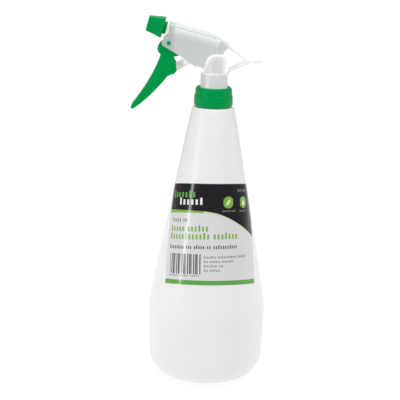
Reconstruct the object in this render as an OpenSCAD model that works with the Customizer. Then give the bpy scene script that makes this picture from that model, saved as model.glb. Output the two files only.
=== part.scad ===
// Trigger spray bottle, 800 ml: tapered bottle, screw collar, pump head, shroud, trigger, nozzle.
// Millimetres. Origin on the bottle axis at the table, +Z up, the nozzle points towards -X.

/* [Bottle] */
// Widest diameter of the bottle
body_d = 95.2; // [80:0.2:110]
// Diameter just above the rounded foot
foot_d = 92.8; // [76:0.2:108]
// Height of the widest ring
waist_z = 62; // [45:1:90]
// Height where the cone turns in to the neck
cone_top_z = 220.6; // [160:0.2:260]
// Diameter at the top of the cone
cone_top_d = 34.2; // [32:0.2:44]
// Radius of the rounded foot
foot_r = 20; // [8:1:24]
// Bottle wall
wall = 1.1; // [0.8:0.1:2]

/* [Neck and collar] */
// Outside diameter of the threaded neck, under the thread
neck_d = 24.9; // [22:0.1:27]
// Thread pitch
pitch = 4.23; // [3:0.01:5]
// Thread turns on the neck and in the collar
turns = 1.25; // [1:0.25:1.5]
// Collar outside diameter over its ribs
collar_d = 31; // [29:0.1:34]
// Collar height
collar_h = 15; // [13:0.5:18]
// Ribs round the collar
ribs = 24; // [12:1:40]

/* [Pump] */
// Angle of the nozzle and barrel above level
nozzle_tilt = 14; // [0:1:20]
// Angle of the pump cylinder above level, rising away from the trigger
pump_tilt = 29; // [20:1:35]
// Pump cylinder bore
bore_d = 9; // [8:0.1:10]
// Piston stroke
stroke = 8; // [6:0.1:8]
// Piston rod diameter
rod_d = 6.4; // [5:0.1:6.6]

/* [Shroud, trigger and nozzle] */
// Width of the shroud
shroud_w = 19; // [18:0.5:22]
// Shroud wall
shroud_wall = 1.4; // [1:0.1:2]
// Width of the trigger
trigger_w = 15; // [14:0.5:15.2]
// Side of the square nozzle cap at its rear
cap_rear = 15.6; // [13:0.1:16]
// Side of the square nozzle cap at its front
cap_front = 11.6; // [10:0.1:14]
// Length of the nozzle cap
cap_l = 13; // [10:0.1:14]
// Width of the hand rest
rest_w = 18; // [14:0.5:20]

/* [Label] */
// Label width along its top edge, laid flat
label_w = 86; // [60:1:90]
// Label width along its lower edge, laid flat
label_foot_w = 83; // [56:1:90]
// Label height, laid flat
label_h = 80; // [60:1:85]
// Height of the label's top edge, at its middle
label_top_z = 166; // [150:1:175]
// How far the label is turned from the side of the bottle
label_turn = 6; // [-20:1:20]

/* [Hidden] */
$fn = 64;

// how far the label's lower edge is set to the left
label_skew = 1.3;

// fits
run_fit = 0.05;
gap = 0.3;

// bottle shape
cone_a = atan((body_d - cone_top_d) / 2 / (cone_top_z - waist_z));
side_a = atan((body_d - foot_d) / 2 / (waist_z - foot_r));
waist_r = 60;
shoulder_r = 3;
rest_in = 22;
push_up = 4.5;
shoulder_z = cone_top_z + shoulder_r * (1 - sin(cone_a));
neck_bore_d = 21.8;
rim_z = 234.2;
thread_z = 226.5;
thread_out = 13.45;
thread_in = 12.75;
steps = 20;

// collar
collar_z = shoulder_z + 0.6;
collar_top = collar_z + collar_h;
lid_z = collar_top - 1.4;
collar_bore = 13.75;
collar_drop = 1.95;

// pump body
gasket_h = 1.4;
flange_z = rim_z + gasket_h;
flange_top = lid_z - 0.15;
flange_r = 12.9;
neck_r = 10.65;
step_z = 250;
bullet_x = 1.2;
bullet_r = 9.25;
bullet_top = 264.7;
spigot_r = 10.5;
spigot_z = 228;
socket_r = 7.5;
tube_r = 2.6;
tube_bore = 1.9;
tube_end = 9;
seat_z = 237.9;
seat_r = 1.2;
seat_out = 2.2;
seat_h = 1.1;
inlet_r = 1.8;
chamber_r = 3.1;
chamber_top = 243.2;

// pump axis: t runs along it from q0
q0 = [-30.35, 253.45];
rod_start = -4.8;
pin_t = -2.6;
pin_r = 1.5;
mouth_t = 16.4;
bore_end = 31.5;
head_t = 17.4;
head_l = 5.1;
cyl_r = bore_d / 2 + 0.8;
spring_t = 8;

// trigger pivot
pivot = [-36.3, 273];
pivot_r = 1.65;

// nozzle axis: a runs forwards along it from the cap's rear face
c0 = [-40.85, 284.25];
out_r = 3.4;
out_bore = 2.2;
out_end = 9;
valve_a = -4.6;
valve_r = 1.1;
outlet_r = 1.6;
barrel_r = 6;
hub_r = 5.3;
hub_l = 2.4;

function arc(c, r, a0, a1, n) =
  [for (i = [0 : n]) c + r * [cos(a0 + (a1 - a0) * i / n), sin(a0 + (a1 - a0) * i / n)]];
function bez(a, b, c, d, n) =
  [for (i = [0 : n]) let (t = i / n, s = 1 - t)
    s * s * s * a + 3 * s * s * t * b + 3 * s * t * t * c + t * t * t * d];
function on_pump(t) = q0 + t * [cos(pump_tilt), sin(pump_tilt)];

// a flat outline in X and Z, given a width in Y
module side(points, w) {
  rotate([90, 0, 0]) linear_extrude(w, center = true) polygon(points);
}

// a pin along Y
module cross(p, r, w) {
  translate([p[0], 0, p[1]]) rotate([90, 0, 0]) cylinder(h = w, r = r, center = true);
}

// local +Z along the pump, away from the trigger
module pump_frame(t) {
  p = on_pump(t);
  translate([p[0], 0, p[1]]) rotate([0, 90 - pump_tilt, 0]) children();
}

// local +Z forwards out of the nozzle, local +X upwards
module nozzle_frame(a) {
  translate([c0[0] - a * cos(nozzle_tilt), 0, c0[1] + a * sin(nozzle_tilt)])
    rotate([0, nozzle_tilt - 90, 0]) children();
}

// one outline for the bottle, moved in by d for the inside
function bottle_outline(d) =
  let (
    foot_c = [foot_d / 2 - foot_r, foot_r],
    mid = (cone_a - side_a) / 2,
    half = (cone_a + side_a) / 2,
    waist_c = [body_d / 2, waist_z] - waist_r / cos(half) * [cos(mid), sin(mid)],
    top_c = [cone_top_d / 2 - shoulder_r * cos(cone_a), cone_top_z - shoulder_r * sin(cone_a)]
  )
  concat(
    [for (i = [0 : 6]) [rest_in * i / 6, d + push_up * (1 - i * i / 36)]],
    arc(foot_c, foot_r - d, -90, -side_a, 10),
    arc(waist_c, waist_r - d, -side_a, cone_a, 4),
    arc(top_c, shoulder_r - d, cone_a, 90, 4)
  );

// a right-hand thread in short level sectors, each a little higher than the last
module thread(root, tip, root_h, tip_h, z) {
  for (i = [0 : steps * turns - 1])
    rotate([0, 0, i * 360 / steps])
      translate([0, 0, z + i * pitch / steps])
        rotate_extrude(angle = 360 / steps + 0.4)
          polygon([[root, -root_h / 2], [tip, -tip_h / 2], [tip, tip_h / 2], [root, root_h / 2]]);
}

module bottle() {
  color([0.93, 0.93, 0.92]) {
    difference() {
      rotate_extrude() polygon(concat(
        bottle_outline(0),
        [[neck_d / 2, shoulder_z], [neck_d / 2, rim_z - 0.4], [neck_d / 2 - 0.4, rim_z], [0, rim_z]]
      ));
      rotate_extrude() polygon(concat(
        bottle_outline(wall),
        [[neck_bore_d / 2, shoulder_z - wall], [neck_bore_d / 2, rim_z + 1], [0, rim_z + 1]]
      ));
    }
    thread(neck_d / 2 - 0.3, thread_out, 1.9, 1.0, thread_z);
  }
}

// a point of the flat label, u across and v down, put on the cone and seen from the side
function on_cone(u, v) =
  let (
    apex_z = cone_top_z + cone_top_d / 2 / tan(cone_a),
    far = (apex_z - label_top_z) / cos(cone_a) + v,
    rho = norm([u, far]),
    az = atan2(u, far) / sin(cone_a)
  )
  [rho * sin(cone_a) * sin(az), apex_z - rho * cos(cone_a)];

module label() {
  lift = 0.03;
  film = 0.15;
  z0 = waist_z + 10;
  z1 = label_top_z + 2;
  r0 = body_d / 2 - (z0 - waist_z) * tan(cone_a) + lift;
  r1 = body_d / 2 - (z1 - waist_z) * tan(cone_a) + lift;
  color([0.88, 0.88, 0.89]) rotate([0, 0, label_turn]) intersection() {
    difference() {
      translate([0, 0, z0]) cylinder(h = z1 - z0, r1 = r0 + film, r2 = r1 + film);
      translate([0, 0, z0]) cylinder(h = z1 - z0, r1 = r0, r2 = r1);
    }
    translate([0, -50, 0]) side(concat(
      [for (i = [-8 : 8]) on_cone(i * label_w / 16, 0)],
      [for (i = [8 : -1 : -8]) on_cone(i * label_foot_w / 16 - label_skew, label_h)]
    ), 100);
  }
}

module collar() {
  r = collar_d / 2;
  color([0.0, 0.6, 0.29]) difference() {
    union() {
      rotate_extrude() polygon([
        [0, collar_z], [r - 0.7, collar_z], [r - 0.3, collar_z + 0.5], [r - 0.25, collar_z + 3],
        [r - 0.45, collar_z + 8.4], [r - 0.9, collar_z + 8.9], [r - 1.05, collar_top - 1.5],
        [r - 1.3, collar_top - 0.7], [r - 2.1, collar_top], [0, collar_top]
      ]);
      for (i = [0 : ribs - 1])
        rotate([0, 0, (i + 0.5) * 360 / ribs])
          translate([r - 1.2, 0, collar_z + 0.6]) cylinder(h = 7.8, r = 1.2, $fn = 24);
    }
    translate([0, 0, collar_z - 1]) cylinder(h = lid_z - collar_z + 1, r = collar_bore);
    cylinder(h = collar_top + 1, r = neck_r + 0.35);
  }
  color([0.0, 0.6, 0.29])
    thread(collar_bore + 0.3, thread_in, 1.7, 0.9, thread_z - collar_drop);
}

module neck_gasket() {
  color([0.85, 0.85, 0.83]) difference() {
    translate([0, 0, rim_z]) cylinder(h = gasket_h, r = neck_d / 2);
    translate([0, 0, rim_z - 1]) cylinder(h = gasket_h + 2, r = spigot_r + 0.1);
  }
}

// the rounded bullet above the neck, grown by extra
module bullet(extra) {
  r = bullet_r + extra;
  top = bullet_top + extra;
  translate([bullet_x, 0, 0]) rotate_extrude() polygon(concat(
    [[0, step_z - 1], [r, step_z - 1]],
    bez([r, step_z + 1.5], [r - 0.6, step_z + 7.5], [r - 1.6, top], [3.4 + extra, top], 8),
    [[0, top]]
  ));
}

module pump_body() {
  riser_top = c0[1] - (bullet_x - c0[0]) * tan(nozzle_tilt);
  rear_a = (c0[0] - bullet_x) / cos(nozzle_tilt);
  color([0.95, 0.95, 0.93]) difference() {
    union() {
      translate([0, 0, flange_z]) cylinder(h = flange_top - flange_z, r = flange_r);
      translate([0, 0, spigot_z]) cylinder(h = flange_z - spigot_z + 0.5, r = spigot_r);
      translate([0, 0, flange_z]) cylinder(h = step_z - flange_z - 0.6, r = neck_r);
      translate([0, 0, step_z - 0.6]) cylinder(h = 0.6, r1 = neck_r, r2 = neck_r - 0.6);
      bullet(0);
      // riser to the barrel, outlet tube and pump cylinder
      translate([bullet_x, 0, bullet_top - 3]) cylinder(h = riser_top - bullet_top + 4.2, r = 3.6);
      nozzle_frame(rear_a - 2.5) cylinder(h = out_end - rear_a + 2.5, r = out_r);
      pump_frame(mouth_t) cylinder(h = bore_end + 2 - mouth_t, r = cyl_r);
      pump_frame(bore_end + 1) cylinder(h = 4, r = 3);
      // cross bar that the shroud's cheeks sit against
      cross(on_pump(bore_end - 1), 2, shroud_w - 2 * shroud_wall);
    }
    // socket for the tube retainer, ball chamber and riser bore
    translate([0, 0, spigot_z - 1]) cylinder(h = 8.9, r = socket_r);
    translate([0, 0, spigot_z]) cylinder(h = chamber_top - spigot_z, r = chamber_r);
    translate([bullet_x, 0, chamber_top - 1]) cylinder(h = riser_top - chamber_top + 1, r = 1.5);
    // pump bore and its port
    pump_frame(mouth_t - 1) cylinder(h = bore_end - mouth_t + 1, r = bore_d / 2);
    pump_frame(bore_end - 1) cylinder(h = 6, r = 1);
    // outlet bore, valve seat and the groove for the nozzle seal
    nozzle_frame(rear_a) cylinder(h = out_end - rear_a + 1, r = valve_r);
    nozzle_frame(valve_a) cylinder(h = out_end - valve_a + 1, r = out_bore);
    nozzle_frame(6.5) rotate_extrude() translate([out_r, 0]) circle(r = 0.45, $fn = 24);
  }
}

module tube_retainer() {
  color([0.82, 0.83, 0.82]) difference() {
    union() {
      translate([0, 0, spigot_z + 0.4]) cylinder(h = 7.4, r = socket_r - run_fit);
      translate([0, 0, spigot_z + 7]) cylinder(h = seat_z + seat_h - spigot_z - 7, r = chamber_r - run_fit);
    }
    translate([0, 0, spigot_z]) cylinder(h = 7, r = tube_r + run_fit);
    translate([0, 0, spigot_z]) cylinder(h = 12, r = seat_r);
    translate([0, 0, seat_z]) cylinder(h = seat_h, r1 = seat_r, r2 = seat_out);
  }
}

module dip_tube() {
  top = spigot_z + 6.9;
  color([0.94, 0.95, 0.95]) difference() {
    translate([0, 0, tube_end]) cylinder(h = top - tube_end, r = tube_r);
    translate([0, 0, tube_end - 1]) cylinder(h = top - tube_end + 2, r = tube_bore);
  }
}

// a slotted cup pushed over the end of the dip tube
module tube_strainer() {
  color([0.88, 0.88, 0.86]) difference() {
    union() {
      translate([0, 0, tube_end - 2.4]) cylinder(h = 9.4, r = 3.7);
    }
    translate([0, 0, tube_end - 0.05]) cylinder(h = 8, r = tube_r + run_fit);
    translate([0, 0, tube_end - 1.4]) cylinder(h = 2, r = tube_bore);
    for (i = [0 : 1])
      rotate([0, 0, 90 * i]) translate([-5, -0.5, tube_end - 1.4]) cube([10, 1, 1]);
  }
}

module inlet_ball() {
  half = atan((seat_out - seat_r) / seat_h);
  apex = seat_z - seat_r / tan(half);
  color([0.75, 0.77, 0.8])
    translate([0, 0, apex + inlet_r / sin(half) + 0.02]) sphere(r = inlet_r);
}

module piston() {
  color([0.96, 0.96, 0.95]) difference() {
    union() {
      pump_frame(rod_start) cylinder(h = 0.8, r1 = rod_d / 2 - 0.8, r2 = rod_d / 2);
      pump_frame(rod_start + 0.8) cylinder(h = head_t - rod_start, r = rod_d / 2);
      pump_frame(head_t) cylinder(h = head_l, r = bore_d / 2 - run_fit);
      cross(on_pump(pin_t), pin_r, 11.8);
    }
    pump_frame(spring_t) cylinder(h = head_t + head_l - spring_t + 1, r = 2.15);
    // groove for the seal
    pump_frame(head_t + 2.6) difference() {
      cylinder(h = 1.4, r = bore_d / 2 + 1);
      cylinder(h = 1.4, r = bore_d / 2 - 0.9);
    }
  }
}

module piston_seal() {
  color([0.2, 0.2, 0.21]) pump_frame(head_t + 2.65) difference() {
    cylinder(h = 1.3, r = bore_d / 2 - 0.02);
    translate([0, 0, -1]) cylinder(h = 4, r = bore_d / 2 - 0.88);
  }
}

// wiper ring round the rod in front of the cylinder mouth
module rod_wiper() {
  color([0.2, 0.2, 0.21]) pump_frame(mouth_t - 1) difference() {
    cylinder(h = 1, r = cyl_r);
    translate([0, 0, -1]) cylinder(h = 3, r = rod_d / 2 + run_fit);
  }
}

// a coil built from half rings, each tipped so that its ends meet the next
module coil(r, wire, rise, n) {
  tip = atan(rise / 4 / r);
  ring = norm([r, rise / 4]);
  for (i = [0 : 2 * n - 1])
    translate([0, 0, rise / 4 + i * rise / 2])
      rotate([0, 0, 180 * i]) rotate([0, tip, 0])
        rotate_extrude(angle = 180) translate([ring, 0]) circle(r = wire, $fn = 24);
}

module return_spring() {
  n = 12;
  wire = 0.3;
  length = bore_end - spring_t - 2 * wire - 0.1;
  color([0.7, 0.71, 0.73])
    pump_frame(spring_t + wire + 0.05) coil(1.7, wire, length / n, n);
}

module outlet_ball() {
  color([0.75, 0.77, 0.8])
    nozzle_frame(valve_a + sqrt(outlet_r * outlet_r - valve_r * valve_r) + 0.02)
      sphere(r = outlet_r);
}

module outlet_spring() {
  n = 5;
  wire = 0.2;
  start = -2.1;
  length = 2 - start - 2 * wire - 0.05;
  color([0.7, 0.71, 0.73])
    nozzle_frame(start + wire) coil(1.45, wire, length / n, n);
}

module swirl_insert() {
  color([0.9, 0.9, 0.88]) difference() {
    union() {
      nozzle_frame(2) cylinder(h = 7.1, r = out_bore - run_fit);
      nozzle_frame(out_end + 0.05) cylinder(h = 0.9, r = 2.9);
    }
    // three feed flutes down the stem
    for (i = [0 : 2])
      nozzle_frame(1) rotate([0, 0, 120 * i]) translate([1.5, -0.4, 0]) cube([2, 0.8, 10]);
  }
}

module nozzle_seal() {
  color([0.15, 0.15, 0.16])
    nozzle_frame(6.5) rotate_extrude() translate([out_r - 0.2, 0]) circle(r = 0.23, $fn = 24);
}

// side profile of the shroud's cheeks and barrel
function shroud_outline() = concat(
  [[-30.9, 290], [-2.6, 281.8], [0.4, 279.3], [4.4, 275.8], [1.2, 267.8], [2.4, 265.6]],
  [[-2.6, 264.7], [-5.6, 262.2], [-7.3, 258], [-8.4, 253.8], [-13.3, 255.8], [-15.6, 255.5]],
  [[-18, 256.9], [-25, 261.7], [-27.8, 263.6]],
  arc(pivot, 5.3, 200, 130, 5),
  [[-35.4, 280.5], [-31.9, 282.8]]
);

// space between the cheeks, open below and in front
function shroud_inside() = concat(
  [[-50, 295], [-3, 280.9], [-0.6, 278.3], [2.6, 275.3], [-1, 266]],
  [[-2.6, 260], [-5, 240], [-50, 240]]
);

// cross-section of the shroud: round barrel, sloping shoulder, upright cheeks
function barrel_section(r, half, rise) = concat(
  [[-40, half], [-3 + rise, half], [-0.6 + rise, half - 0.8], [1.6 + rise, half - 2.4]],
  [for (i = [0 : 16]) let (t = 26 + 128 * i / 16) [r * sin(t), r * cos(t)]],
  [[1.6 + rise, 2.4 - half], [-0.6 + rise, 0.8 - half], [-3 + rise, -half], [-40, -half]]
);

module shroud() {
  half = shroud_w / 2;
  color([0.83, 0.84, 0.84]) difference() {
    union() {
      difference() {
        intersection() {
          side(shroud_outline(), shroud_w);
          nozzle_frame(-60) linear_extrude(60) polygon(barrel_section(barrel_r, half, 0));
        }
        intersection() {
          side(shroud_inside(), shroud_w - 2 * shroud_wall);
          nozzle_frame(-60) linear_extrude(80)
            polygon(barrel_section(barrel_r - 1.3, half - shroud_wall, -0.9));
        }
      }
      // the barrel's bare front end
      intersection() {
        nozzle_frame(-15) cylinder(h = 14, r = barrel_r);
        side([[-36.4, 292], [-30.4, 292], [-30.4, 272], [-36.4, 272]], shroud_w);
      }
      // web behind the cheeks, over the bullet
      side([[3.8, 276.3], [12.2, 270.9], [11, 270], [8.6, 269], [7.1, 267.3], [6.6, 265.3],
            [1.6, 265.3], [1.2, 267.8]], shroud_w - 3);
      // hand rest: a loop of thin plate with a tail
      intersection() {
        union() {
          side([[8.4, 273.5], [26.8, 261], [36.9, 261.2], [37.3, 260.4], [36.9, 259.7],
                [26.4, 259.6], [10, 270.6]], rest_w);
          side([[27.6, 260], [20, 257.4], [11, 252.9], [9, 250.3], [10.5, 250.3], [12, 252],
                [20.8, 256.2], [27.6, 258.8]], rest_w);
        }
        translate([0, 0, 240]) linear_extrude(40) polygon(concat(
          [[0, -rest_w / 2]],
          arc([31.3, 3 - rest_w / 2], 3, -90, -30, 4), arc([31.3, 0], 6, -30, 30, 6),
          arc([31.3, rest_w / 2 - 3], 3, 30, 90, 4),
          [[0, rest_w / 2]]
        ));
      }
    }
    // room for the pump body inside and for the trunnions
    bullet(0.1);
    translate([bullet_x, 0, 260]) cylinder(h = 15.6, r = 3.6 + gap);
    nozzle_frame(-46) cylinder(h = 50, r = out_r + gap);
    pump_frame(mouth_t - 2) cylinder(h = bore_end + 4.3 - mouth_t, r = cyl_r + gap);
    cross(pivot, pivot_r + 0.06, shroud_w + 2);
  }
}

// outline of the trigger, finger side first
function trigger_outline() = concat(
  arc(pivot, 3.5, 40, 150, 5),
  [[-41.2, 273.8], [-43.3, 272.3], [-44.9, 269.9], [-45.2, 268.1], [-44.3, 265.7], [-42.6, 263.8]],
  bez([-43, 261.8], [-47, 249.5], [-55, 235.5], [-64.8, 222.8], 10),
  arc([-63.9, 221.4], 1.3, 170, 300, 4),
  bez([-60.4, 222.3], [-51.5, 229.3], [-43, 238.5], [-36.4, 247.1], 8),
  [[-31.3, 249], [-29.6, 251.4], [-30.4, 256.8], [-32.2, 259.2], [-32.1, 262.3], [-27.9, 263.5]],
  [[-28.5, 266], [-32, 269.5]]
);

// hollow in the back of the trigger, between its cheeks
function trigger_hollow() = concat(
  [[-40, 262.6]],
  bez([-41.6, 260], [-45, 250], [-53, 236], [-60.5, 226], 8),
  [[-57, 221], [-30, 240], [-20, 250], [-20, 263.5]]
);

module trigger() {
  reach = [cos(pump_tilt), sin(pump_tilt)];
  near = pivot - on_pump(pin_t);
  dir = near / norm(near);
  perp = [-dir[1], dir[0]];
  c = on_pump(pin_t);
  slot = 1.9;
  color([0.0, 0.62, 0.3]) difference() {
    union() {
      side(trigger_outline(), trigger_w);
      cross(pivot, pivot_r, 19.8);
      translate([pivot[0], 9.9, pivot[1]]) rotate([-90, 0, 0]) cylinder(h = 0.4, r1 = pivot_r, r2 = 1.2);
      translate([pivot[0], -9.9, pivot[1]]) rotate([90, 0, 0]) cylinder(h = 0.4, r1 = pivot_r, r2 = 1.2);
    }
    // back hollow: narrow between the cheeks that hold the piston, wider below them
    side(trigger_hollow(), rod_d + 0.8);
    intersection() {
      side(trigger_hollow(), trigger_w - 3);
      translate([-80, -20, 200]) cube([60, 40, 44]);
    }
    // slot in each cheek for the piston's cross pin
    cross(c, slot, 12.4);
    cross(c + 1.3 * dir, slot, 12.4);
    side([c - slot * perp, c + slot * perp, c + slot * perp + 1.3 * dir,
          c - slot * perp + 1.3 * dir], 12.4);
  }
}

module nozzle_cap() {
  skirt = 4.3;
  mid = cap_rear + (cap_front - cap_rear) * skirt / cap_l;
  color([0.0, 0.6, 0.29]) difference() {
    union() {
      nozzle_frame(-hub_l) cylinder(h = hub_l + 1, r = hub_r);
      intersection() {
        union() {
          nozzle_frame(0) rotate([0, 0, 45])
            cylinder(h = skirt, r1 = cap_rear / sqrt(2), r2 = (mid + 0.3) / sqrt(2), $fn = 4);
          nozzle_frame(skirt - 0.1) rotate([0, 0, 45])
            cylinder(h = cap_l - skirt + 0.1, r1 = mid / sqrt(2), r2 = cap_front / sqrt(2), $fn = 4);
        }
        // rounds the four corners and the front edge
        nozzle_frame(-1) cylinder(h = cap_l + 1, r1 = cap_rear * 0.665, r2 = cap_front * 0.645);
      }
    }
    // bore over the outlet tube, way out to the front and the pocket for the insert
    nozzle_frame(-hub_l - 1) cylinder(h = out_end + hub_l + 2.2, r = out_r + run_fit);
    nozzle_frame(0) cylinder(h = cap_l + 1, r = 0.8);
    nozzle_frame(cap_l - 1.2) cylinder(h = 2, r = 3);
    // the hollow skirt behind the block
    nozzle_frame(-0.1) difference() {
      cylinder(h = 3.6, r = 6.4);
      translate([0, 0, -1]) cylinder(h = 6, r = hub_r);
    }
  }
}

module orifice_insert() {
  color([0.0, 0.55, 0.27]) nozzle_frame(cap_l - 1.18) difference() {
    cylinder(h = 1, r = 3 - run_fit);
    translate([0, 0, -1]) cylinder(h = 3, r = 0.35);
    translate([0, 0, 0.5]) cylinder(h = 0.6, r1 = 0.35, r2 = 1.4);
  }
}

bottle();
label();
collar();
neck_gasket();
pump_body();
tube_retainer();
dip_tube();
tube_strainer();
inlet_ball();
piston();
piston_seal();
rod_wiper();
return_spring();
shroud();
trigger();
outlet_ball();
outlet_spring();
swirl_insert();
nozzle_seal();
nozzle_cap();
orifice_insert();
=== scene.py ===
"""Trigger spray bottle on a pale floor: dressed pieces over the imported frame."""
from math import atan, atan2, cos, hypot, pi, radians, sin, sqrt, tan

import bmesh
import bpy
from mathutils import Matrix, Vector


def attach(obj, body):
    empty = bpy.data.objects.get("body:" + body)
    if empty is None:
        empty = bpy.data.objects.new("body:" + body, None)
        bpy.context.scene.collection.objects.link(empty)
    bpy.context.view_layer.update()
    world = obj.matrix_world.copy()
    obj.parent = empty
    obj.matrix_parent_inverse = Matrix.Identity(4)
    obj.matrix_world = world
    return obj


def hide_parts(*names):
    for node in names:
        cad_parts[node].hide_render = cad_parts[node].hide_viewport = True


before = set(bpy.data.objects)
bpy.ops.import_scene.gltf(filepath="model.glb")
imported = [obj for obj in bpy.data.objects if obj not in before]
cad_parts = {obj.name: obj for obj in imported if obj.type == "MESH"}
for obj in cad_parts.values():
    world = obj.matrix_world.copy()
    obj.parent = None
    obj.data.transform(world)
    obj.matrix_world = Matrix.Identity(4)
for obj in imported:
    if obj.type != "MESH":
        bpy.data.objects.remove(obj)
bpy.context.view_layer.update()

MM = 0.001

# ---------------------------------------------------------------- sizes, in millimetres
BODY_R = 47.6
FOOT_R = 46.4
WAIST_Z = 62.0
CONE_TOP_Z = 220.6
CONE_TOP_R = 17.1
FOOT_ROUND = 20.0
WALL = 1.1
WAIST_ROUND = 60.0
SHOULDER_ROUND = 3.0
NECK_R = 12.45
NECK_BORE_R = 10.9
RIM_Z = 234.2
PITCH = 4.23
THREAD_Z = 226.5
THREAD_TURNS = 1.25
THREAD_STEPS = 72
CONE_A = atan((BODY_R - CONE_TOP_R) / (CONE_TOP_Z - WAIST_Z))
SIDE_A = atan((BODY_R - FOOT_R) / (WAIST_Z - FOOT_ROUND))
SHOULDER_Z = CONE_TOP_Z + SHOULDER_ROUND * (1 - sin(CONE_A))

COLLAR_Z = SHOULDER_Z + 0.6
COLLAR_TOP = COLLAR_Z + 15
RIBS = 24

LABEL_W = 86.0
LABEL_FOOT_W = 83.0
LABEL_SKEW = 1.3
LABEL_H = 80.0
LABEL_TOP_Z = 166.0
LABEL_TURN = radians(6)

NOZZLE_TILT = radians(14)
CAP_REAR = (-40.85, 284.25)
CAP_L = 13.0
CORNER_STEPS = 7

# how strong the white surround is as fill light and in reflections
FILL = 0.48
SHEEN = 0.3

# the shroud's grey along X: painted shade darkens its front ring and painted light pales its thin hand
# rest, around its own grey in the middle
SHROUD_PAINTED_SHADING = [(-36.4, 0.52), (-32.5, 0.56), (-31.0, 0.64), (8.0, 0.66), (15.0, 0.88), (38.0, 0.92)]


# ---------------------------------------------------------------- materials
def sockets(node, **values):
    """Sets a node's inputs by name, with _ for a space."""
    for key, value in values.items():
        node.inputs[key.replace("_", " ")].default_value = value
    return node


def ranged(tree, source, low, high):
    """source, 0 to 1, mapped to low to high."""
    node = tree.nodes.new("ShaderNodeMapRange")
    tree.links.new(source, node.inputs["Value"])
    sockets(node, To_Min=low, To_Max=high)
    return node.outputs["Result"]


def noise(tree, scale, detail, stretch=(1, 1, 1)):
    """Noise in the object's own metres, stretched along an axis if asked."""
    place = tree.nodes.new("ShaderNodeTexCoord")
    mapping = tree.nodes.new("ShaderNodeMapping")
    mapping.inputs["Scale"].default_value = stretch
    tree.links.new(place.outputs["Object"], mapping.inputs["Vector"])
    node = tree.nodes.new("ShaderNodeTexNoise")
    tree.links.new(mapping.outputs["Vector"], node.inputs["Vector"])
    sockets(node, Scale=scale, Detail=detail)
    return node.outputs["Fac"]


def surface(name, colour, rough, vary=0.04, mottle=120.0, grain=5000.0, depth=0.00001,
            flow=(1, 1, 1), painted_corner_glow=0.0, **fixed):
    """A moulded or printed surface: slight mottling, uneven gloss and a fine grain.

    The glow setting paints light: an emission, strongest in closed-in corners, that lifts their shade as
    light through a translucent wall would.
    """
    mat = bpy.data.materials.new(name)
    mat.use_nodes = True
    tree = mat.node_tree
    shader = tree.nodes["Principled BSDF"]
    sockets(shader, **fixed)
    tint = tree.nodes.new("ShaderNodeMix")
    tint.data_type = "RGBA"
    tint.inputs[6].default_value = (*[c * (1 - vary) for c in colour], 1)
    tint.inputs[7].default_value = (*[min(1.0, c * (1 + vary)) for c in colour], 1)
    tree.links.new(noise(tree, mottle, 3.0, flow), tint.inputs[0])
    tree.links.new(tint.outputs[2], shader.inputs["Base Color"])
    gloss = ranged(tree, noise(tree, mottle * 2.3, 4.0, flow), rough * 0.82, rough * 1.18)
    tree.links.new(gloss, shader.inputs["Roughness"])
    bump = tree.nodes.new("ShaderNodeBump")
    sockets(bump, Strength=0.6, Distance=depth)
    tree.links.new(noise(tree, grain, 3.0), bump.inputs["Height"])
    tree.links.new(bump.outputs["Normal"], shader.inputs["Normal"])
    # painted light: emission that brightens the surface where it is hidden, lifting the shade in its
    # corners
    if painted_corner_glow:
        hidden = tree.nodes.new("ShaderNodeAmbientOcclusion")
        sockets(hidden, Distance=0.02)
        light = ranged(tree, hidden.outputs["AO"], painted_corner_glow, 0.0)
        tree.links.new(light, shader.inputs["Emission Strength"])
        sockets(shader, Emission_Color=(1, 1, 1, 1))
    return mat


def make_materials():
    """One material for each kind of surface."""
    ink = dict(vary=0.04, mottle=90, grain=3000, depth=0.000006)
    return {
        "bottle": surface("milky_polyethylene", (0.86, 0.855, 0.845), 0.32, vary=0.012, mottle=60,
                          depth=0.00002, flow=(1, 1, 0.35), Subsurface_Weight=0.35,
                          Subsurface_Radius=(1.0, 0.95, 0.9), Subsurface_Scale=0.003,
                          Specular_IOR_Level=0.4),
        "green": surface("green_polypropylene", (0.0, 0.285, 0.058), 0.34, vary=0.04, mottle=150,
                         Specular_IOR_Level=0.4, Specular_Tint=(0.03, 0.75, 0.35, 1)),
        # the white and shroud surfaces get painted light in their corners from their glow setting
        "white": surface("natural_polypropylene", (0.68, 0.685, 0.68), 0.22, vary=0.02, mottle=150,
                         Subsurface_Weight=0.9, Subsurface_Radius=(1.0, 1.0, 0.95),
                         Subsurface_Scale=0.006, painted_corner_glow=0.5),
        "shroud": surface("pale_shroud_plastic", (0.91, 0.94, 0.925), 0.5, vary=0.015, mottle=110,
                          painted_corner_glow=0.25, depth=0.000015, Subsurface_Weight=0.3,
                          Subsurface_Radius=(1.0, 1.0, 1.0), Subsurface_Scale=0.002),
        "tube": surface("tube_polyethylene", (0.78, 0.79, 0.79), 0.4, vary=0.02),
        "rubber": surface("seal_rubber", (0.02, 0.02, 0.02), 0.6, vary=0.1, mottle=600),
        "gasket": surface("gasket_foam", (0.6, 0.6, 0.57), 0.85, vary=0.08, mottle=900, grain=2500,
                          depth=0.00006),
        "steel": surface("stainless_wire", (0.62, 0.62, 0.63), 0.25, vary=0.04, mottle=800,
                         Metallic=1.0),
        "label": surface("label_film", (0.67, 0.665, 0.675), 0.22, vary=0.01, mottle=90, grain=3000,
                         depth=0.000006),
        "black": surface("label_black_ink", (0.007, 0.006, 0.009), 0.16, **ink),
        "lime": surface("label_lime_ink", (0.20, 0.42, 0.035), 0.18, **ink),
        "mint": surface("label_mint_ink", (0.50, 0.66, 0.36), 0.18, **ink),
        "leaf": surface("label_leaf_ink", (0.10, 0.36, 0.055), 0.18, **ink),
        "grey": surface("label_grey_ink", (0.22, 0.22, 0.23), 0.18, **ink),
        "dark": surface("label_dark_ink", (0.07, 0.07, 0.075), 0.18, **ink),
        "pale": surface("label_white_ink", (0.78, 0.78, 0.78), 0.18, **ink),
    }


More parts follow.
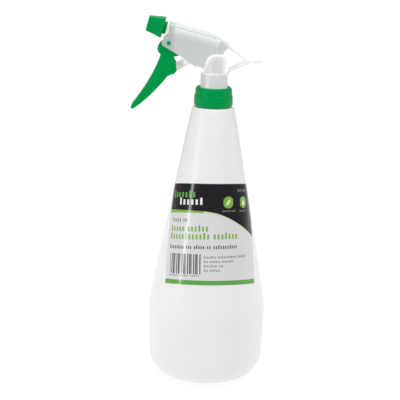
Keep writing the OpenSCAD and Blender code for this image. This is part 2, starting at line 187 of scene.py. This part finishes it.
def tones_along(mat, stops):
    """Multiplies a material's colour by grey tones at places along the object's X, given in millimetres."""
    tree = mat.node_tree
    shader = tree.nodes["Principled BSDF"]
    place = tree.nodes.new("ShaderNodeTexCoord")
    split = tree.nodes.new("ShaderNodeSeparateXYZ")
    tree.links.new(place.outputs["Object"], split.inputs["Vector"])
    low, high = stops[0][0], stops[-1][0]
    along = tree.nodes.new("ShaderNodeMapRange")
    sockets(along, From_Min=low * MM, From_Max=high * MM)
    tree.links.new(split.outputs["X"], along.inputs["Value"])
    ramp = tree.nodes.new("ShaderNodeValToRGB")
    elements = ramp.color_ramp.elements
    elements[0].color = (*[stops[0][1]] * 3, 1)
    elements[1].color = (*[stops[-1][1]] * 3, 1)
    for x, tone in stops[1:-1]:
        elements.new((x - low) / (high - low)).color = (tone, tone, tone, 1)
    tree.links.new(along.outputs["Result"], ramp.inputs["Fac"])
    mix = tree.nodes.new("ShaderNodeMix")
    mix.data_type = "RGBA"
    mix.blend_type = "MULTIPLY"
    mix.inputs[0].default_value = 1.0
    tree.links.new(shader.inputs["Base Color"].links[0].from_socket, mix.inputs[6])
    tree.links.new(ramp.outputs["Color"], mix.inputs[7])
    tree.links.new(mix.outputs[2], shader.inputs["Base Color"])


# ---------------------------------------------------------------- mesh helpers
def new_object(name, bm, mats, smooth=radians(35)):
    """A mesh object from bm, in metres, shaded smooth up to an angle."""
    bmesh.ops.recalc_face_normals(bm, faces=bm.faces)
    bmesh.ops.scale(bm, vec=(MM, MM, MM), verts=bm.verts)
    mesh = bpy.data.meshes.new(name)
    bm.to_mesh(mesh)
    bm.free()
    for m in mats:
        mesh.materials.append(m)
    mesh.shade_smooth()
    obj = bpy.data.objects.new(name, mesh)
    bpy.context.scene.collection.objects.link(obj)
    mesh.set_sharp_from_angle(angle=smooth)
    return obj


def arc(cx, cy, r, a0, a1, n):
    """n + 1 points of an arc, angles in radians."""
    angles = [a0 + (a1 - a0) * i / n for i in range(n + 1)]
    return [(cx + r * cos(a), cy + r * sin(a)) for a in angles]


def rounded(points, radius, n):
    """An open outline with its inner corners rounded in n steps, by radius or a point's own third value."""
    out = [points[0]]
    for before, here, after in zip(points, points[1:], points[2:]):
        p, a, b = Vector(here[:2]), Vector(before[:2]), Vector(after[:2])
        r = here[2] if len(here) > 2 else radius
        da, db = (a - p).length, (b - p).length
        turn = (a - p).angle(b - p) if da > 1e-9 and db > 1e-9 else pi
        if r <= 0 or turn > radians(176):
            out.append(tuple(p))
            continue
        cut = min(r / tan(turn / 2), 0.45 * da, 0.45 * db)
        start, end = p + (a - p) * cut / da, p + (b - p) * cut / db
        for i in range(n + 1):
            t = i / n
            out.append(tuple(start * (1 - t) ** 2 + p * 2 * t * (1 - t) + end * t * t))
    out.append(tuple(points[-1][:2]))
    return out


def turned(bm, profile, segments, shape):
    """Adds a solid turned about the vertical. profile is a closed run of (radius, height).

    shape gives the radius at each angle from the profile's radius and height.
    """
    rings = []
    for r, z in profile:
        if r < 1e-6:
            rings.append([bm.verts.new((0, 0, z))])
            continue
        ring = []
        for i in range(segments):
            a = 2 * pi * i / segments
            rr = shape(r, z, a)
            ring.append(bm.verts.new((rr * cos(a), rr * sin(a), z)))
        rings.append(ring)
    for lower, upper in zip(rings, rings[1:] + rings[:1]):
        if len(lower) == 1 and len(upper) == 1:
            continue
        for i in range(segments):
            j = (i + 1) % segments
            corners = [lower[i % len(lower)], lower[j % len(lower)],
                       upper[j % len(upper)], upper[i % len(upper)]]
            face = list(dict.fromkeys(corners))
            if len(face) > 2:
                bm.faces.new(face)


def skin(bm, rings):
    """Joins each ring of points to the next, all of the same count."""
    n = len(rings[0])
    for one, two in zip(rings, rings[1:]):
        for i in range(n):
            bm.faces.new([one[i], one[(i + 1) % n], two[(i + 1) % n], two[i]])


def along_nozzle(a):
    """Places local +Z forwards along the nozzle from a, with local +X upwards."""
    place = Matrix.Translation((CAP_REAR[0] - a * cos(NOZZLE_TILT), 0, CAP_REAR[1] + a * sin(NOZZLE_TILT)))
    return place @ Matrix.Rotation(NOZZLE_TILT - pi / 2, 4, "Y")


def dress(node, material, bevel=0.0):
    """Keeps a CAD node, with its material and a small round on its hard edges."""
    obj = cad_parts[node]
    obj.data.materials.clear()
    obj.data.materials.append(material)
    if bevel:
        weld = obj.modifiers.new("weld", "WELD")
        weld.merge_threshold = 0.000002
        round_off = obj.modifiers.new("round", "BEVEL")
        round_off.width = bevel * MM
        round_off.segments = 3
        round_off.limit_method = "ANGLE"
        round_off.angle_limit = radians(32)
        round_off.harden_normals = True
        round_off.use_clamp_overlap = True


# ---------------------------------------------------------------- bottle
def bottle_side(d):
    """The bottle's outline from the middle of its base to its shoulder, moved in by d."""
    cone, side = CONE_A, SIDE_A
    mid, half = (cone - side) / 2, (cone + side) / 2
    wx = BODY_R - WAIST_ROUND / cos(half) * cos(mid)
    wz = WAIST_Z - WAIST_ROUND / cos(half) * sin(mid)
    tx = CONE_TOP_R - SHOULDER_ROUND * cos(cone)
    tz = CONE_TOP_Z - SHOULDER_ROUND * sin(cone)
    points = [(22 * i / 12, d + 4.5 * (1 - (i / 12) ** 2)) for i in range(12)]
    points += arc(21.2, d + 0.9, 0.9, -pi * 0.35, -pi / 2, 3) if d == 0 else [(22, d)]
    points += arc(FOOT_R - FOOT_ROUND, FOOT_ROUND, FOOT_ROUND - d, -pi / 2, -side, 24)
    points += arc(wx, wz, WAIST_ROUND - d, -side, cone, 12)
    for t in (0.25, 0.5, 0.75):
        points.append((BODY_R - d + (CONE_TOP_R - BODY_R) * t, WAIST_Z + (CONE_TOP_Z - WAIST_Z) * t))
    points += arc(tx, tz, SHOULDER_ROUND - d, cone, pi / 2, 8)
    return points


def parting(r, z, a):
    """The mould's parting line: a fine ridge down the two sides, and on the foot."""
    off = min(abs(a - pi), abs(a), abs(a - 2 * pi)) * r
    return r + (0.12 * max(0.0, 1 - off / 0.7) if r > 14 and z < CONE_TOP_Z - 2 else 0.0)


def make_bottle(mats):
    """The blown bottle with its threaded neck."""
    outer = bottle_side(0)
    inner = bottle_side(WALL)
    neck = [(NECK_R + 0.5, SHOULDER_Z), (NECK_R, SHOULDER_Z + 0.5), (NECK_R, RIM_Z - 0.5),
            (NECK_R - 0.15, RIM_Z - 0.12), (NECK_R - 0.5, RIM_Z), (11.3, RIM_Z), (11.0, RIM_Z - 0.1),
            (NECK_BORE_R, RIM_Z - 0.4), (NECK_BORE_R, SHOULDER_Z - WALL)]
    bm = bmesh.new()
    turned(bm, outer + neck + inner[::-1], 240, parting)
    thread(bm, NECK_R - 0.25, 13.43, 0.95, 0.5, THREAD_Z)
    obj = new_object("bottle_shell", bm, [mats["bottle"]])
    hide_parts("bottle")
    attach(obj, "bottle")


def thread(bm, root, tip, root_half, tip_half, z):
    """A right-hand thread ridge that fades in and out at its ends."""
    count = int(THREAD_TURNS * THREAD_STEPS)
    rings = []
    for i in range(count + 1):
        a = 2 * pi * i / THREAD_STEPS
        rise = PITCH * i / THREAD_STEPS
        fade = min(1.0, i / 6 + 0.05, (count - i) / 6 + 0.05)
        top = root + (tip - root) * fade
        section = [(root, -root_half), (top, -tip_half), (top, tip_half), (root, root_half)]
        rings.append([bm.verts.new((r * cos(a), r * sin(a), z + rise + h)) for r, h in section])
    for one, two in zip(rings, rings[1:]):
        for k in range(4):
            bm.faces.new([one[k], one[(k + 1) % 4], two[(k + 1) % 4], two[k]])
    bm.faces.new(rings[0])
    bm.faces.new(rings[-1][::-1])


# ---------------------------------------------------------------- label
def on_cone(u, v, lift):
    """A point of the flat label, u across and v down, put on the cone, lift above it."""
    apex_z = CONE_TOP_Z + CONE_TOP_R / tan(CONE_A)
    far = (apex_z - LABEL_TOP_Z) / cos(CONE_A) + v
    rho = hypot(u, far)
    az = atan2(u, far) / sin(CONE_A)
    r = rho * sin(CONE_A) + lift * cos(CONE_A)
    z = apex_z - rho * cos(CONE_A) + lift * sin(CONE_A)
    a = az + LABEL_TURN
    return Vector((r * sin(a), -r * cos(a), z))


def patch(bm, lower, upper, low, high, mat=0):
    """A thin closed slab on the cone between two edges, each a list of (u, v), cut every 2 mm down."""
    rows = max(1, round(max(abs(p[1] - q[1]) for p, q in zip(lower, upper)) / 2))
    n = len(lower)
    sheets = []
    for lift in (low, high):
        sheet = []
        for j in range(rows + 1):
            t = j / rows
            line = [(p[0] + (q[0] - p[0]) * t, p[1] + (q[1] - p[1]) * t) for p, q in zip(upper, lower)]
            sheet.append([bm.verts.new(on_cone(u, v, lift)) for u, v in line])
        sheets.append(sheet)
    under, over = sheets
    faces = []
    for sheet in sheets:
        for j in range(rows):
            for i in range(n - 1):
                faces.append([sheet[j][i], sheet[j][i + 1], sheet[j + 1][i + 1], sheet[j + 1][i]])
    for j in range(rows):
        for i in (0, -1):
            faces.append([under[j][i], under[j + 1][i], over[j + 1][i], over[j][i]])
    for j in (0, -1):
        for i in range(n - 1):
            faces.append([under[j][i], under[j][i + 1], over[j][i + 1], over[j][i]])
    for face in faces:
        bm.faces.new(face).material_index = mat


def bar(bm, u0, u1, v0, v1, low, high, mat):
    """A printed rectangle."""
    n = max(1, round(abs(u1 - u0)))
    us = [u0 + (u1 - u0) * i / n for i in range(n + 1)]
    patch(bm, [(u, v1) for u in us], [(u, v0) for u in us], low, high, mat)


def blob(bm, u, v, ru, rv, low, high, mat, point=0.0):
    """A printed disc, or a drop if point is over 0."""
    n = 20
    top, bottom = [], []
    for i in range(n + 1):
        t = -1 + 2 * i / n
        edge = sqrt(max(0.0, 1 - t * t))
        top.append((u + ru * t, v - rv * edge - point * max(0.0, 1 - abs(t) * 1.6) ** 1.5))
        bottom.append((u + ru * t, v + rv * edge))
    patch(bm, bottom[1:-1], top[1:-1], low, high, mat)


def blocks(bm, u, v0, v1, step, groups, low, high, mat, share=0.5):
    """Stand-in print: a row of plain blocks in groups, climbing slightly to the right."""
    start = u
    for g, count in enumerate(groups):
        for i in range(count):
            climb = 0.016 * (u - start)
            short = 0.0 if (3 * i + g) % 5 == 0 else 0.24 * (v1 - v0)
            bar(bm, u, u + share * step, v0 + short - climb, v1 - climb, low, high, mat)
            u += step
        u += 0.7 * step


def band_edge(u):
    """How far down the head band reaches at u: level, then sweeping down to the right."""
    x = u - 3
    return 20.5 + 0.27 * (x + hypot(x, 11))


def across(us, reach):
    """An edge over the label at the depths that reach gives, drawn in with the label's sides."""
    out = []
    for u in us:
        v = reach(u)
        out.append((u + (u * (LABEL_FOOT_W / LABEL_W - 1) - LABEL_SKEW) * v / LABEL_H, v))
    return out


def make_label(mats):
    """The film and everything printed on it."""
    w, h = LABEL_W / 2, LABEL_H
    us = [-w + LABEL_W * i / 86 for i in range(87)]
    bm = bmesh.new()
    patch(bm, across(us, lambda u: h), across(us, lambda u: 0.0), 0.03, 0.17)
    film = new_object("label_film", bm, [mats["label"]])
    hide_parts("label")

    bm = bmesh.new()
    inks = ("black", "lime", "leaf", "grey", "dark", "pale", "mint")
    black, lime, leaf, grey, dark, pale, mint = range(len(inks))
    one, two, three = (0.15, 0.20), (0.18, 0.225), (0.21, 0.24)
    # head band, and the line under it that thins and pales to the right
    patch(bm, across(us, band_edge), across(us, lambda u: 0.05), *one, black)
    left = [u for u in us if u <= -8]
    right = [u for u in us if u >= -8]

    def line_edge(u):
        return band_edge(u) + max(0.6, 2.7 - 0.036 * (u + w))

    for part, ink in ((left, lime), (right, mint)):
        patch(bm, across(part, line_edge), across(part, band_edge), *one, ink)
    # the heading's two lines and a small mark at the right
    blocks(bm, -38.4, 5.8, 11.2, 3.55, [7], *two, leaf)
    blocks(bm, -29.9, 11.4, 16.9, 3.75, [6], *two, pale)
    blocks(bm, 20.8, 3.8, 6.4, 1.35, [4, 5], *two, grey)
    # two round marks, one with a slanting leaf and one with a drop, and small print under each
    for u in (11.7, 27.8):
        blob(bm, u, 14.6, 4.7, 4.7, *two, lime)
    slant = [i / 6 for i in range(7)]
    patch(bm, [(9.7 + 4 * t, 16.8 - 4.4 * t + 1.5 * sin(pi * t)) for t in slant],
          [(9.7 + 4 * t, 16.8 - 4.4 * t - 1.5 * sin(pi * t)) for t in slant], *three, pale)
    blob(bm, 27.8, 15.5, 1.8, 1.8, *three, pale, point=2.6)
    blocks(bm, 6.7, 20.6, 22.2, 1.1, [6, 4], *two, grey)
    blocks(bm, 23.0, 20.6, 22.2, 1.1, [9], *two, grey)
    # lines of stand-in print on the body of the label
    blocks(bm, -37.8, 27.2, 30.6, 2.15, [5, 2], *one, grey)
    blocks(bm, -38.4, 33.2, 38.2, 3.0, [5, 6], *one, lime)
    blocks(bm, -38.8, 39.2, 44.4, 3.05, [12, 7], *one, lime)
    blocks(bm, -39.0, 48.9, 52.0, 1.87, [8, 3, 5, 2, 11], *one, dark)
    for i, groups in enumerate(([8, 13, 7], [3, 7, 8], [9, 3], [3, 7])):
        blocks(bm, -7.6, 56.8 + 3.5 * i, 59.0 + 3.5 * i, 1.25, groups, *one, grey)
    # a made-up bar pattern with small marks under it
    u = -38.0
    for i in range(17):
        wide = 0.42 * (1 + (i * 7 + i * i * 3) % 3)
        bar(bm, u, u + wide, 55.6, 71.6, *one, dark)
        u += wide + 0.42 * (1 + (i * 5 + 2) % 3)
    blocks(bm, -38.4, 72.2, 73.8, 1.5, [6, 6, 5], *one, grey)
    # foot band
    patch(bm, across(us, lambda u: h - 0.05), across(us, lambda u: h - 3.6), *one, leaf)
    ink = new_object("label_print", bm, [mats[k] for k in inks])
    for obj in (film, ink):
        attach(obj, "bottle")


# ---------------------------------------------------------------- collar
def ribbed(r, z, a):
    """The collar's shallow ribs, which fade out at both ends of the skirt."""
    if r < 14.2 or z > COLLAR_Z + 8.7:
        return r
    end = min(1.0, max(0.0, (z - COLLAR_Z - 0.3) / 0.7), max(0.0, (COLLAR_Z + 8.6 - z) / 0.6))
    wave = abs(cos(a * RIBS / 2))
    return r + end * (0.32 * wave ** 0.6 - 0.18)


def make_collar(mats):
    """The screw collar, ribbed outside and threaded inside."""
    z, top = COLLAR_Z, COLLAR_TOP
    outside = rounded([(13.8, z), (14.9, z, 0.3), (15.22, z + 1.2), (15.26, z + 4), (15.08, z + 8.3, 0.3),
                       (14.65, z + 8.9, 0.3), (14.45, top - 1.6, 0.9), (13.4, top, 0.7), (11.15, top, 0.25),
                       (11.0, top - 0.6)], 0.3, 5)
    steps = []
    for p, q in zip(outside, outside[1:]):
        n = max(1, int(hypot(q[0] - p[0], q[1] - p[1]) / 0.7))
        steps += [(p[0] + (q[0] - p[0]) * i / n, p[1] + (q[1] - p[1]) * i / n) for i in range(n)]
    inside = [(11.0, top - 1.4), (13.75, top - 1.4), (13.75, z + 0.3)]
    bm = bmesh.new()
    turned(bm, steps + [outside[-1]] + inside, 336, ribbed)
    thread(bm, 14.0, 12.78, 0.85, 0.45, THREAD_Z - 1.95)
    obj = new_object("screw_collar", bm, [mats["green"]])
    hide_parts("collar")
    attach(obj, "collar")


# ---------------------------------------------------------------- nozzle cap
def square_ring(half, corner):
    """Points round a square with rounded corners."""
    out = []
    for k in range(4):
        c = half - corner
        cx, cy = ((c, c), (-c, c), (-c, -c), (c, -c))[k]
        out += arc(cx, cy, corner, k * pi / 2, (k + 1) * pi / 2, CORNER_STEPS)
    return out


def make_nozzle(mats):
    """The square cap: skirt, step, tapered block and dished front."""
    rear, front, skirt = 7.8, 5.8, 4.3
    mid = rear + (front - rear) * skirt / CAP_L
    stations = [(0.25, 6.6, 1.0), (0.0, rear - 0.35, 1.3), (0.08, rear - 0.1, 1.4), (0.3, rear, 1.4),
                (skirt - 0.25, mid + 0.22, 1.3), (skirt - 0.06, mid + 0.12, 1.25), (skirt, mid - 0.02, 1.2),
                (skirt + 0.12, mid - 0.12, 1.15), (CAP_L - 0.7, front + 0.02, 1.2),
                (CAP_L - 0.22, front - 0.1, 1.15), (CAP_L - 0.05, front - 0.3, 1.0),
                (CAP_L, front - 0.6, 0.9)]
    bm = bmesh.new()
    rings = []
    for a, half, corner in stations:
        rings.append([bm.verts.new((x, y, a)) for x, y in square_ring(half, corner)])
    skin(bm, rings)

    def round_ring(a, r):
        ring = []
        for x, y in square_ring(1.0, 0.5):
            turn = atan2(y, x)
            ring.append(bm.verts.new((r * cos(turn), r * sin(turn), a)))
        return ring

    # front: in to a round dish; rear: hollow skirt, then the hub round the bore
    chain = [rings[-1]]
    for a, r in ((CAP_L, 3.5), (CAP_L - 0.12, 3.2), (CAP_L - 1.2, 3.05), (CAP_L - 1.2, 0.8), (10.3, 0.8),
                 (10.2, 3.45), (-2.4, 3.45), (-2.4, 5.1), (-2.2, 5.3), (3.4, 5.3), (3.4, 6.2)):
        chain.append(round_ring(a, r))
    chain.append(rings[0])
    skin(bm, chain)
    bmesh.ops.transform(bm, matrix=along_nozzle(0), verts=bm.verts)
    obj = new_object("nozzle_cap_body", bm, [mats["green"]], radians(28))
    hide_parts("nozzle_cap")
    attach(obj, "nozzle")


# ---------------------------------------------------------------- light, floor and camera
def make_world():
    """A white surround: full to the camera, softer as fill light, dim in reflections."""
    world = bpy.data.worlds.new("studio")
    bpy.context.scene.world = world
    world.use_nodes = True
    tree = world.node_tree
    path = tree.nodes.new("ShaderNodeLightPath")
    total = path.outputs["Is Camera Ray"]
    for ray, share in (("Is Diffuse Ray", FILL), ("Is Glossy Ray", SHEEN)):
        add = tree.nodes.new("ShaderNodeMath")
        add.operation = "MULTIPLY_ADD"
        add.inputs[1].default_value = share
        tree.links.new(path.outputs[ray], add.inputs[0])
        tree.links.new(total, add.inputs[2])
        total = add.outputs["Value"]
    back = tree.nodes["Background"]
    sockets(back, Color=(1, 1, 1, 1))
    tree.links.new(total, back.inputs["Strength"])


def panel(name, place, aim, size, radiance):
    """A rectangular light aimed at a point, as bright as radiance over its face."""
    light = bpy.data.lights.new(name, "AREA")
    light.shape = "RECTANGLE"
    light.size, light.size_y = size
    light.energy = radiance * pi * size[0] * size[1]
    obj = bpy.data.objects.new(name, light)
    obj.location = place
    obj.rotation_euler = (Vector(aim) - Vector(place)).to_track_quat("-Z", "Y").to_euler()
    bpy.context.scene.collection.objects.link(obj)


def make_stage():
    """A glowing white floor, a box overhead, a soft panel on the right and a strip on the left."""
    bm = bmesh.new()
    bmesh.ops.create_grid(bm, x_segments=2, y_segments=2, size=2500)
    bmesh.ops.translate(bm, vec=(0, -1500, 0), verts=bm.verts)
    white = bpy.data.materials.new("stage_white")
    white.use_nodes = True
    sockets(white.node_tree.nodes["Principled BSDF"], Base_Color=(0.25, 0.25, 0.25, 1), Roughness=0.9,
            Specular_IOR_Level=0.0, Emission_Color=(1, 1, 1, 1), Emission_Strength=0.78)
    new_object("stage_floor", bm, [white])
    make_world()
    panel("box_overhead", (0, 0.1, 2.4), (0, 0, 0), (3.2, 3.2), 2.3)
    panel("strip_left", (-0.857, -0.515, 0.27), (0, 0, 0.2), (0.10, 0.36), 12.0)
    panel("panel_right", (1.5, -0.9, 1.4), (0, 0, 0.2), (1.4, 1.2), 0.8)


def make_camera():
    """A long lens a metre away, looking down on the bottle."""
    data = bpy.data.cameras.new("camera")
    data.sensor_width = 36
    data.lens = 113.73
    data.clip_start = 0.05
    camera = bpy.data.objects.new("camera", data)
    tilt, roll = radians(13.73), radians(1.82)
    right = Vector((1, 0, 0))
    up = Vector((0, sin(tilt), cos(tilt)))
    back = Vector((0, -cos(tilt), sin(tilt)))
    right, up = right * cos(roll) + up * sin(roll), up * cos(roll) - right * sin(roll)
    axes = Matrix((right, up, back)).transposed().to_4x4()
    camera.matrix_world = Matrix.Translation((-0.0081, -0.9937, 0.3887)) @ axes
    bpy.context.scene.collection.objects.link(camera)
    bpy.context.scene.camera = camera


mats = make_materials()
# paints shade on the shroud's front ring and light on its hand rest
tones_along(mats["shroud"], SHROUD_PAINTED_SHADING)
make_stage()
make_camera()
make_bottle(mats)
make_label(mats)
make_collar(mats)
make_nozzle(mats)
dress("pump_body", mats["white"], 0.25)
dress("shroud", mats["shroud"], 0.3)
dress("trigger", mats["green"], 0.35)
dress("piston", mats["white"])
for name in ("tube_retainer", "tube_strainer", "swirl_insert"):
    dress(name, mats["white"])
dress("dip_tube", mats["tube"])
dress("orifice_insert", mats["green"])
dress("neck_gasket", mats["gasket"])
for name in ("piston_seal", "rod_wiper", "nozzle_seal"):
    dress(name, mats["rubber"])
for name in ("inlet_ball", "outlet_ball", "return_spring", "outlet_spring"):
    dress(name, mats["steel"])

bpy.context.scene.view_settings.view_transform = "Standard"
